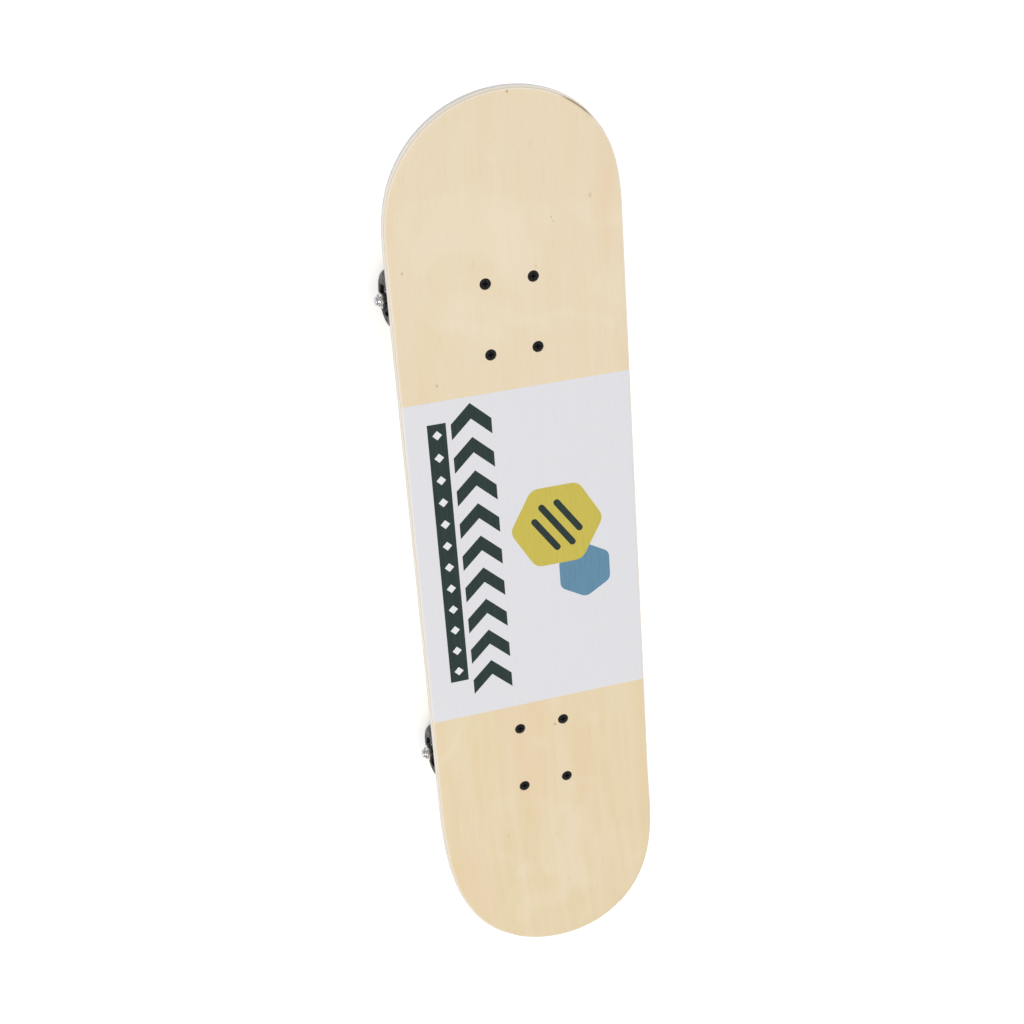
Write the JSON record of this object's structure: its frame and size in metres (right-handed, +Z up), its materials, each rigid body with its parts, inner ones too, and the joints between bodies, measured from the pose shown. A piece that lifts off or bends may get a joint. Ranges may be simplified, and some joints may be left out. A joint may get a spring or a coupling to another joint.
{
  "type": "skateboard",
  "caption": "Street skateboard with a maple popsicle deck on two sprung steering trucks and freely spinning urethane wheels.",
  "frame": {"origin": "under the middle of the board's length and width, on the plane that the wheels stand on", "axes": "+X to the nose, +Y to the left, +Z up"},
  "size_m": [0.8069, 0.2032, 0.1121],
  "materials": {
    "deck_wood": "pale maple with a thin clear coat, and a pale grey printed band across the middle of the top",
    "black_steel": "black oxide",
    "cast_metal": "raw cast, lightly tumbled",
    "zinc_steel": "bright zinc plated",
    "bearing_steel": "ground steel with black seals",
    "bushing_urethane": "smooth off-white urethane",
    "cup_urethane": "smooth black urethane",
    "wheel_urethane": "satin black urethane"
  },
  "bodies": {
    "deck": {"deck": "deck_wood", "front_bolt_inner_a": "black_steel", "front_lock_nut_inner_a": "black_steel", "front_bolt_inner_b": "black_steel", "front_lock_nut_inner_b": "black_steel", "front_bolt_outer_a": "black_steel", "front_lock_nut_outer_a": "black_steel", "front_bolt_outer_b": "black_steel", "front_lock_nut_outer_b": "black_steel", "front_baseplate": "cast_metal", "front_pivot_cup": "cup_urethane", "front_kingpin": "zinc_steel", "front_kingpin_nut": "zinc_steel", "front_board_washer": "zinc_steel", "front_road_washer": "zinc_steel", "front_board_bushing": "bushing_urethane", "front_road_bushing": "bushing_urethane", "rear_bolt_inner_a": "black_steel", "rear_lock_nut_inner_a": "black_steel", "rear_bolt_inner_b": "black_steel", "rear_lock_nut_inner_b": "black_steel", "rear_bolt_outer_a": "black_steel", "rear_lock_nut_outer_a": "black_steel", "rear_bolt_outer_b": "black_steel", "rear_lock_nut_outer_b": "black_steel", "rear_baseplate": "cast_metal", "rear_pivot_cup": "cup_urethane", "rear_kingpin": "zinc_steel", "rear_kingpin_nut": "zinc_steel", "rear_board_washer": "zinc_steel", "rear_road_washer": "zinc_steel", "rear_board_bushing": "bushing_urethane", "rear_road_bushing": "bushing_urethane"},
    "front_hanger": {"front_hanger": "cast_metal", "front_axle": "zinc_steel", "front_left_speed_washer": "zinc_steel", "front_left_axle_nut": "zinc_steel", "front_right_speed_washer": "zinc_steel", "front_right_axle_nut": "zinc_steel"},
    "rear_hanger": {"rear_hanger": "cast_metal", "rear_axle": "zinc_steel", "rear_left_speed_washer": "zinc_steel", "rear_left_axle_nut": "zinc_steel", "rear_right_speed_washer": "zinc_steel", "rear_right_axle_nut": "zinc_steel"},
    "front_left_wheel": {"front_left_wheel": "wheel_urethane", "front_left_outer_bearing": "bearing_steel", "front_left_inner_bearing": "bearing_steel"},
    "front_right_wheel": {"front_right_wheel": "wheel_urethane", "front_right_outer_bearing": "bearing_steel", "front_right_inner_bearing": "bearing_steel"},
    "rear_left_wheel": {"rear_left_wheel": "wheel_urethane", "rear_left_outer_bearing": "bearing_steel", "rear_left_inner_bearing": "bearing_steel"},
    "rear_right_wheel": {"rear_right_wheel": "wheel_urethane", "rear_right_outer_bearing": "bearing_steel", "rear_right_inner_bearing": "bearing_steel"}
  },
  "joints": [
    {"name": "front_steer", "type": "hinge", "parent": "deck", "child": "front_hanger", "pos_m": [0.23997, 0, 0.0645], "axis": [0.8575, 0, 0.5145], "range_deg": [-15, 15], "stiffness_Nm_per_rad": 40, "deforming": ["front_board_bushing", "front_road_bushing"]},
    {"name": "rear_steer", "type": "hinge", "parent": "deck", "child": "rear_hanger", "pos_m": [-0.24338, 0, 0.0645], "axis": [-0.8575, 0, 0.5145], "range_deg": [-15, 15], "stiffness_Nm_per_rad": 40, "deforming": ["rear_board_bushing", "rear_road_bushing"]},
    {"name": "front_left_spin", "type": "hinge", "parent": "front_hanger", "child": "front_left_wheel", "pos_m": [0.22098, 0.0768, 0.026], "axis": [0, 1, 0], "continuous": true},
    {"name": "front_right_spin", "type": "hinge", "parent": "front_hanger", "child": "front_right_wheel", "pos_m": [0.22098, -0.0768, 0.026], "axis": [0, 1, 0], "continuous": true},
    {"name": "rear_left_spin", "type": "hinge", "parent": "rear_hanger", "child": "rear_left_wheel", "pos_m": [-0.22437, 0.0768, 0.026], "axis": [0, 1, 0], "continuous": true},
    {"name": "rear_right_spin", "type": "hinge", "parent": "rear_hanger", "child": "rear_right_wheel", "pos_m": [-0.22437, -0.0768, 0.026], "axis": [0, 1, 0], "continuous": true}
  ]
}
